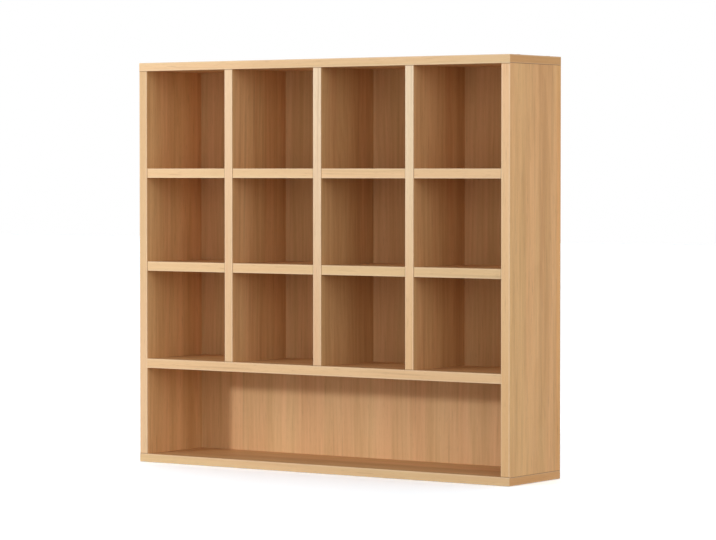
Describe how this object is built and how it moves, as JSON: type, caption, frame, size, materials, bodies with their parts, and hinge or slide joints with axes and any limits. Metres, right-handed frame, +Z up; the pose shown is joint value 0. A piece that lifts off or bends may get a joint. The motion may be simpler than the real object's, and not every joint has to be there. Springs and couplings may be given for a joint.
{
  "type": "mug display rack",
  "caption": "Open board rack for mugs: a grid of cubbies with halved shelves over one full-width compartment, with a rebated back and keyhole plates.",
  "frame": {"origin": "middle of the underside", "axes": "+X to the right along the width, +Y back to the wall, +Z up"},
  "size_m": [0.8, 0.166, 0.7315],
  "materials": {
    "board": "satin oak-grain facing",
    "back": "satin oak-grain facing",
    "edge_band": "satin, wood print",
    "cap": "satin",
    "zinc": "zinc plated",
    "plate": "zinc plated",
    "dowel": "bare beech"
  },
  "bodies": {
    "root": {"top_board": "board", "bottom_board": "board", "left_side": "board", "right_side": "board", "left_divider": "board", "middle_divider": "board", "right_divider": "board", "upper_shelf": "board", "middle_shelf": "board", "lower_shelf": "board", "back_panel": "back", "top_front_band": "edge_band", "top_left_band": "edge_band", "top_right_band": "edge_band", "bottom_front_band": "edge_band", "bottom_left_band": "edge_band", "bottom_right_band": "edge_band", "left_side_band": "edge_band", "right_side_band": "edge_band", "left_divider_band": "edge_band", "middle_divider_band": "edge_band", "right_divider_band": "edge_band", "upper_shelf_bands": "edge_band", "middle_shelf_bands": "edge_band", "lower_shelf_band": "edge_band", "carcase_screws": "zinc", "screw_caps": "cap", "cam_bolts": "zinc", "cam_locks": "zinc", "dowels": "dowel", "back_screws": "zinc", "keyhole_plates": "plate", "plate_screws": "zinc"}
  },
  "joints": []
}
